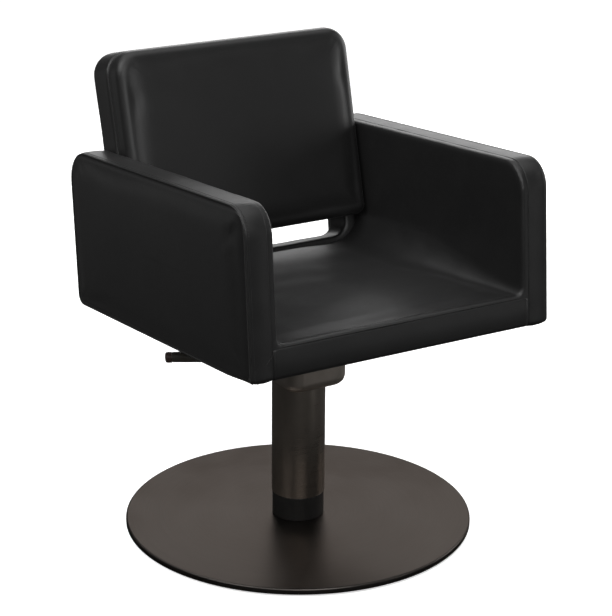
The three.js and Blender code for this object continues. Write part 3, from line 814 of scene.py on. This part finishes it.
for side in (-1, 1):
    tag = name_of(side)
    band = arm_band(side)
    dress(band, LEATHER, "seat")
    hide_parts(f"arm_pad_{tag}")
    panel = side_panel(side)
    # the side panel gets the darker leather copy, painted shade for a face turned away from the lights
    dress(panel, LEATHER_PAINTED_SHADE, "seat")
    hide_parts(f"side_panel_{tag}")
    path = tucked(flat_at_x(arm_outline(0.0016), side * (X_OUT + 0.0002)))
    welt = tube(f"welt_outer_{tag}", path, 0.0012, True, TUB)
    dress(welt, WELT_PAINTED_SHADE, "seat")
    path = flat_at_x(arm_outline(0.0011), side * (X_SEAM - 0.0002))
    welt = tube(f"welt_inner_{tag}", path, 0.0004, True, TUB)
    dress(welt, WELT_PAINTED_SHADE, "seat")
    rim = arm_outline(-0.0004)
    outward = rim - np.array(ARM_MIDDLE)
    outward /= np.linalg.norm(outward, axis=1)[:, None]
    path = tucked(flat_at_x(rim, side * (X_OUT - 0.0050)))
    thread = stitches(f"band_stitches_{tag}", path, flat_at_x(outward, 0), True, TUB)
    dress(thread, THREAD, "seat")

lining = build_lining()
dress(lining, LEATHER, "seat")
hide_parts("seat_cushion")


# ---- front strip under the seat ----
def front_strip():
    r_low, r_high = 0.008, 0.0035
    y0 = ARM_LOW[0]
    top = SEAT_TOP - 0.0048
    line = [(y0 + 0.030, 0.001)]
    for a in np.linspace(0, math.pi / 2, 9):
        line.append((y0 + r_low * (1 - math.sin(a)), r_low * (1 - math.cos(a)) + 0.0006))
    for t in np.linspace(0.1, 0.9, 8):
        bulge = 0.0012 * math.sin(math.pi * t)
        line.append((y0 - bulge, r_low + (top - r_high - r_low) * t))
    for a in np.linspace(0, math.pi / 2, 6):
        line.append((y0 + r_high * (1 - math.cos(a)), top - r_high * (1 - math.sin(a))))
    line += [(y0 + 0.012, top - 0.001), (y0 + 0.030, top - 0.002)]
    stations = np.linspace(-X_IN - 0.009, X_IN + 0.009, 90)
    points = np.array([(x, y, h) for x in stations for y, h in line])
    faces = ring_faces(len(line), len(stations))
    faces.append(tuple(range(len(line))))
    faces.append(tuple(reversed(range((len(stations) - 1) * len(line), len(stations) * len(line)))))
    points[:, 1] += ripple(points, 0.07, 71) * 0.0003
    return fixed_normals(mesh_piece("front_strip", points, faces, TUB))


strip = front_strip()
# the front strip gets the darker leather copy, painted shade under the seat's edge
dress(strip, LEATHER_PAINTED_SHADE, "seat")
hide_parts("front_band")
seam_y = ARM_LOW[0] + 0.0022
path = [(x, seam_y, SEAT_TOP - 0.0040) for x in np.linspace(-X_IN - 0.006, X_IN + 0.006, 60)]
seam = tube("welt_seat_front", path, 0.0012, False, TUB)
dress(seam, WELT_PAINTED_SHADE, "seat")
path = [(x, ARM_LOW[0] + 0.0105, SEAT_TOP + 0.0006) for x in np.linspace(-0.214, 0.214, 50)]
thread = stitches("seat_front_stitches", path, (0, 0, 1), False, TUB)
dress(thread, THREAD, "seat")
for side in (-1, 1):
    ends = np.array([[side * (X_IN + 0.004), ARM_LOW[0] - 0.0002, SEAT_TOP - 0.006],
                     [side * (X_OUT - 0.012), ARM_LOW[0] - 0.0004, 0.014]])
    line = np.linspace(ends[0], ends[1], 14)
    seam = tube(f"welt_mitre_{name_of(side)}", line, 0.00045, False, TUB)
    dress(seam, WELT_PAINTED_SHADE, "seat")


# ---- back ----
def shell_outline(inset, per_side=48, per_corner=12):
    return outline((-BACK_HALF, BACK_BOTTOM), (BACK_HALF, BACK_TOP), BACK_RADII, inset, per_side, per_corner)


def cushion_outline(inset):
    return outline((-BACK_HALF, CUSHION_LOW), (BACK_HALF, BACK_TOP), CUSHION_RADII, inset, 48, 12)


def back_shell():
    body = prism("back_shell_cover", shell_outline(0.0, 20, 14), 0.0004, SHELL_REAR, (0, 2))
    edges = outline((-SLOT[0], SLOT[1]), (SLOT[0], SLOT[2]), SLOT_RADII, 0.0, 10, 10)
    cut(body, prism("hole", edges, -0.02, 0.08, (0, 2)))
    remeshed(body, COVER_VOXEL, 12)
    p = points_of(body)
    n = normals_of(body)
    rear = smoothstep(n[:, 1], 0.5, 0.95)
    edge = np.minimum.reduce([BACK_HALF - np.abs(p[:, 0]), BACK_TOP - p[:, 2], p[:, 2] - BACK_BOTTOM])
    above_slot = smoothstep(p[:, 2], 0.14, 0.18)
    crown = 0.004 * (1 - np.exp(-np.maximum(edge - 0.012, 0) / 0.04)) * above_slot
    soft = ripple(p, 0.11, 41) * 0.0006
    p += n * (rear * crown + soft)[:, None]
    set_points(body, p)
    return place(body, BACK)


def back_cushion():
    def ring(inset, v):
        return flat_at_y(cushion_outline(inset), v)

    rear = -0.0030
    rows = [ring(0.012, rear), ring(0.0035, rear)]
    r = 0.0055
    for a in np.radians(np.linspace(15, 90, 6)):
        rows.append(ring(0.0006 + r * (1 - math.sin(a)), rear - r * (1 - math.cos(a))))
    for t in np.linspace(0.15, 0.85, 4):
        v = rear - r + (CUSHION_FACE - rear + r + CUSHION_ROLL) * t
        rows.append(ring(-0.0012 * math.sin(math.pi * t) + 0.0006, v))
    r = CUSHION_ROLL
    for a in np.radians(np.linspace(0, 90, 10)):
        rows.append(ring(0.0006 + r * (1 - math.cos(a)), CUSHION_FACE + r * (1 - math.sin(a))))
    count = len(rows[0])
    for d in (0.002, 0.005, 0.010, 0.018, 0.030, 0.045, 0.065, 0.088, 0.112, 0.134, 0.144):
        rows.append(ring(0.0006 + r + d, CUSHION_FACE))
    points = np.concatenate(rows)
    faces = ring_faces(count, len(rows))
    faces.append(tuple(range((len(rows) - 1) * count, len(rows) * count)))
    faces.append(tuple(reversed(range(count))))
    level = np.repeat(np.linspace(0, 1, len(rows)), count)
    sides = [points[:, 0] + BACK_HALF, BACK_HALF - points[:, 0],
             points[:, 2] - CUSHION_LOW, BACK_TOP - points[:, 2]]
    rise = np.prod([1 - np.exp(-np.maximum(d - 0.0006 - r, 0) / 0.045) for d in sides], axis=0)
    crown = 0.0030
    points[:, 1] -= crown * rise * smoothstep(level, 0.5, 0.75)
    points[:, 1] += ripple(points, 0.17, 51) * 0.0005 * smoothstep(level, 0.4, 0.7)
    obj = fixed_normals(mesh_piece("back_cushion_cover", points, faces))

    def held(at):
        return smoothstep(at[:, 1], -0.016, -0.010)

    def free(at):
        rim = np.minimum.reduce([BACK_HALF - np.abs(at[:, 0]), at[:, 2] - CUSHION_LOW,
                                 BACK_TOP - at[:, 2]])
        return (1 - smoothstep(at[:, 1], -0.038, -0.026)) * smoothstep(rim, 0.006, 0.045)

    return place(stuffed(obj, 0.0036, (0, -1, 0), held, free), BACK)


shell = back_shell()
dress(shell, LEATHER, "seat")
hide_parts("back_shell")
pillow = back_cushion()
dress(pillow, LEATHER, "seat")
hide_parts("back_cushion")
seam = tube("welt_back", flat_at_y(cushion_outline(0.0042), -0.0013), 0.0016, True, BACK)
dress(seam, WELT_PAINTED_SHADE, "seat")
seam = tube("welt_back_rear", flat_at_y(shell_outline(0.014), SHELL_REAR), 0.0013, True, BACK)
dress(seam, WELT_PAINTED_SHADE, "seat")
path = flat_at_y(shell_outline(0.019), SHELL_REAR + 0.0008)
thread = stitches("back_rear_stitches", path, (0, 1, 0), True, BACK)
dress(thread, THREAD, "seat")


# ---- column, floor plate and pump ----
def build_metal():
    disc = lathe("floor_plate", rounded_profile([
        (0, 0.003, 0), (0.2985, 0.003, 0.0006), (0.2998, 0.0044, 0.0008), (0.2998, 0.0118, 0.0016),
        (0.2978, 0.0137, 0.0014), (0, 0.0137, 0),
    ]), 256)
    dress(disc, BRONZE_DISC, "base")
    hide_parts("base_disc")
    for i in range(6):
        low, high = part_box(f"glide_{i + 1}")
        centre = (low + high) / 2
        pad = lathe(f"glide_pad_{i + 1}", rounded_profile([
            (0, 0.0, 0), (0.0132, 0.0, 0.0008), (0.0135, 0.0026, 0.0005),
            (0.004, 0.0027, 0), (0.004, 0.009, 0), (0, 0.009, 0),
        ]), 48, Matrix.Translation((centre.x, centre.y, 0)))
        dress(pad, NYLON, "base")
        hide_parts(f"glide_{i + 1}")
    collar = lathe("column_collar", rounded_profile([
        (0.016, 0.0141, 0), (0.0447, 0.0141, 0.0008), (0.0447, 0.0558, 0.0012), (0.0414, 0.0558, 0.0006),
        (0.0414, 0.026, 0), (0.016, 0.026, 0), (0.016, 0.0141, 0),
    ]), 128)
    dress(collar, BLACK_STEEL, "base")
    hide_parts("base_collar")
    sleeve = lathe("column_tube", rounded_profile([
        (0.0436, 0.0565, 0), (0.0460, 0.0565, 0.0007), (0.0460, 0.2850, 0.0004),
        (0.0436, 0.2850, 0), (0.0436, 0.0565, 0),
    ]), 160)
    dress(sleeve, BRONZE_TUBE, "seat")
    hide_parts("column_sleeve")
    tube_in = lathe("guide_tube", [
        (0.0386, 0.0263), (0.0410, 0.0263), (0.0410, 0.2396),
        (0.0406, 0.2400), (0.0386, 0.2400), (0.0386, 0.0263),
    ], 128)
    dress(tube_in, BLACK_STEEL, "base")
    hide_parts("inner_tube")


def softened_copy(node, name, voxel, smoothing):
    obj = added(name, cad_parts[node].data.copy())
    obj.data.materials.clear()
    return remeshed(obj, voxel, smoothing)


def build_pump():
    turn, reach = math.radians(148.6), 0.062
    pivot = Vector((reach * math.cos(turn), reach * math.sin(turn), 0.306))
    lever_frame = Matrix.Translation(pivot) @ Matrix.Rotation(turn, 4, "Z")
    plunger_frame = lever_frame @ Matrix.Translation((-0.019, 0, 0))
    head = softened_copy("pump_head", "pump_housing", 0.0016, 7)
    bore = [(0, 0.0040), (0.0055, 0.0040), (0.0055, 0.0380), (0, 0.0380)]
    cut(head, lathe("bore", bore, 32, plunger_frame))
    dress(head, BRONZE_CAST, "seat")
    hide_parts("pump_head")
    share = np.linspace(0, 1, 121)
    angle = share * 5 * 2 * math.pi
    coil = np.column_stack([0.0039 * np.cos(angle), 0.0039 * np.sin(angle), 0.0215 + 0.0140 * share])
    spring = tube("return_spring", coil, 0.0006, False, plunger_frame, 10)
    dress(spring, BRIGHT, "seat")
    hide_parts("plunger_spring")
    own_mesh(spring)
    sag = Matrix.Rotation(math.radians(2.6), 4, "Y")
    droop = lever_frame @ sag @ Matrix.Rotation(math.radians(90), 4, "Y")
    grip = lathe("lever_handle", rounded_profile([
        (0.0063, 0.070, 0), (0.0110, 0.070, 0.0012), (0.0120, 0.0735, 0.0012), (0.0112, 0.0900, 0.0020),
        (0.0089, 0.1535, 0.0004), (0.0063, 0.154, 0), (0.0063, 0.070, 0),
    ]), 64, droop)
    dress(grip, GRIP, "lever")
    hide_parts("lever_grip")
    cap = lathe("lever_cap", rounded_profile([
        (0, 0.1583, 0), (0.0063, 0.1583, 0), (0.0063, 0.1543, 0), (0.0093, 0.1543, 0.0008),
        (0.0096, 0.1600, 0.0016), (0.0088, 0.1648, 0.0022), (0.0045, 0.1660, 0.0014), (0, 0.1660, 0),
    ]), 64, droop)
    dress(cap, CAP, "lever")
    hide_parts("lever_end_cap")
    arm = softened_copy("lever_arm", "lever_bar", 0.0010, 5)
    dress(arm, BRONZE_CAST, "lever")
    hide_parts("lever_arm")


build_metal()
build_pump()

for node in ("tilt_wedge", "mount_plate", "back_bracket_left", "back_bracket_right"):
    repaint(node, BLACK_STEEL)
for node in ("piston_rod", "pump_barrel", "lever_pin", "pump_plunger", "thrust_washer",
             *(f"mount_bolt_{i}" for i in (1, 2, 3, 4)), *(f"base_screw_{i}" for i in (1, 2, 3, 4)),
             "bracket_bolt_left", "bracket_bolt_right"):
    repaint(node, BRIGHT)
for node in ("piston", "sleeve_bush", "barrel_gland"):
    repaint(node, NYLON)
for node in ("seat_board", "arm_board_left", "arm_board_right", "back_board"):
    repaint(node, WOOD)
repaint("dust_cover", DUST)


# ---- floor, light and camera ----
def build_stage():
    reach = 30
    corners = [(-reach, -reach, 0), (reach, -reach, 0), (reach, reach, 0), (-reach, reach, 0)]
    floor = mesh_piece("floor", corners, [(0, 1, 2, 3)], smooth=False)
    mat, nodes, links, bsdf = shader("floor_pale")
    where = coordinates(nodes)
    cloud = noise(nodes, links, where, 3, 2, 0.5)
    base = colour_mix(nodes, links, cloud, (0.93, 0.93, 0.93), (0.95, 0.95, 0.95))
    links.new(base, bsdf.inputs["Base Color"])
    bsdf.inputs["Roughness"].default_value = 0.9
    bsdf.inputs["Specular IOR Level"].default_value = 0.1
    bsdf.inputs["Emission Color"].default_value = (1, 1, 1, 1)
    bsdf.inputs["Emission Strength"].default_value = 0.55
    floor.data.materials.append(mat)
    floor.visible_diffuse = False
    floor.visible_glossy = False
    world = bpy.data.worlds.new("studio")
    bpy.context.scene.world = world
    world.use_nodes = True
    nodes, links = world.node_tree.nodes, world.node_tree.links
    background = nodes["Background"]
    background.inputs["Color"].default_value = (1, 1, 1, 1)
    path = nodes.new("ShaderNodeLightPath")
    level = nodes.new("ShaderNodeMapRange")
    level.inputs["To Min"].default_value = 0.032
    level.inputs["To Max"].default_value = 1.05
    links.new(path.outputs["Is Camera Ray"], level.inputs["Value"])
    links.new(level.outputs["Result"], background.inputs["Strength"])


def area_light(name, position, target, size, energy, size_y=None):
    data = bpy.data.lights.new(name, "AREA")
    data.energy = energy
    data.shape = "RECTANGLE"
    data.size = size
    data.size_y = size_y or size
    obj = added(name, data)
    obj.location = position
    obj.rotation_mode = "QUATERNION"
    obj.rotation_quaternion = (Vector(target) - Vector(position)).to_track_quat("-Z", "Y")
    obj.visible_camera = False
    return obj


def sun_light(name, direction, strength, angle):
    data = bpy.data.lights.new(name, "SUN")
    data.energy = strength
    data.angle = math.radians(angle)
    obj = added(name, data)
    obj.rotation_mode = "QUATERNION"
    obj.rotation_quaternion = Vector(direction).to_track_quat("-Z", "Y")
    return obj


def build_camera():
    azimuth, elevation, roll = (math.radians(a) for a in (-31.557, 19.415, 0.390))
    back = Vector((math.sin(azimuth) * math.cos(elevation), -math.cos(azimuth) * math.cos(elevation),
                   math.sin(elevation)))
    right = Vector((math.cos(azimuth), math.sin(azimuth), 0))
    up = back.cross(right)
    right, up = (right * math.cos(roll) + up * math.sin(roll), up * math.cos(roll) - right * math.sin(roll))
    data = bpy.data.cameras.new("camera")
    data.sensor_width = 36
    data.lens = 121.155195
    data.clip_end = 200
    obj = added("camera", data)
    turn = Matrix((right, up, back)).transposed().to_4x4()
    obj.matrix_world = Matrix.Translation((-1.7186, -2.8206, 1.5534)) @ turn
    bpy.context.scene.camera = obj


build_stage()
sun_light("light_sky", (0.05, -0.1, -1), 1.7, 80)
area_light("light_front_high", (-1.0, -2.7, 2.0), (0, 0, 0.45), 2.0, 40)
area_light("light_left_high", (-2.0, -0.4, 2.4), (0, 0, 0.45), 1.6, 34)
area_light("light_right", (2.8, -0.3, 1.0), (0, 0, 0.45), 1.5, 26)
area_light("light_front_right", (1.6, -2.4, 0.8), (0, 0, 0.45), 1.0, 1.5)
area_light("light_front_low", (1.3, -2.2, 0.22), (0, 0, 0.3), 0.4, 1.5)
area_light("light_rear", (1.5, 2.3, 1.0), (0, 0, 0.35), 2.6, 8, 1.7)
area_light("light_rear_high", (1.5, 2.3, 1.6), (0, 0, 0.5), 2.0, 19, 1.2)
area_light("light_rear_right", (2.4, 1.3, 0.8), (0.25, 0, 0.0), 0.9, 10)
area_light("light_left_rear", (-1.6, 1.7, 0.6), (-0.2, 0, 0.5), 0.9, 1.2)
build_camera()
bpy.context.scene.view_settings.view_transform = "Standard"
